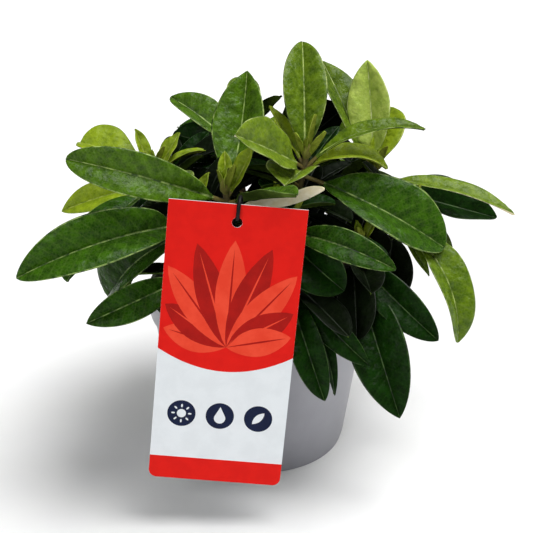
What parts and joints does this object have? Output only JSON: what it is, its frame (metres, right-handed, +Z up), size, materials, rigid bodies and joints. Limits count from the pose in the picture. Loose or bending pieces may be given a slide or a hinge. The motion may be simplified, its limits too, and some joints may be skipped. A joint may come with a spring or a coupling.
{
  "type": "potted rhododendron",
  "caption": "Young rhododendron with broad glossy leaves, growing in a round pale plastic nursery pot, with a hanging card label looped on one shoot.",
  "frame": {"origin": "the middle of the pot's flat underside", "axes": "+Z up along the pot's axis, -Y to the front, the side the label hangs on, +X to the right as seen from the front"},
  "size_m": [0.2496, 0.2036, 0.2144],
  "materials": {
    "pot_plastic": "satin",
    "compost": "matte",
    "bark": "matte",
    "leaf": "satin",
    "card": "satin",
    "strap": "satin"
  },
  "bodies": {
    "root": {"pot": "pot_plastic", "soil": "compost", "trunk": "bark", "bough_top": "bark", "foliage_top": "leaf", "bough_right": "bark", "foliage_right": "leaf", "bough_upper_left": "bark", "foliage_upper_left": "leaf", "bough_lower_left": "bark", "foliage_lower_left": "leaf", "bough_front_left": "bark", "foliage_front_left": "leaf", "bough_front_upper": "bark", "foliage_front_upper": "leaf", "bough_front": "bark", "foliage_front": "leaf", "bough_lower_right": "bark", "foliage_lower_right": "leaf", "bough_side_right": "bark", "foliage_side_right": "leaf", "bough_left": "bark", "foliage_left": "leaf", "bough_back_left": "bark", "foliage_back_left": "leaf", "bough_back": "bark", "foliage_back": "leaf", "bough_back_right": "bark", "foliage_back_right": "leaf", "bough_low_back_left": "bark", "foliage_low_back_left": "leaf", "label_card": "card", "label_loop": "strap"}
  },
  "joints": []
}
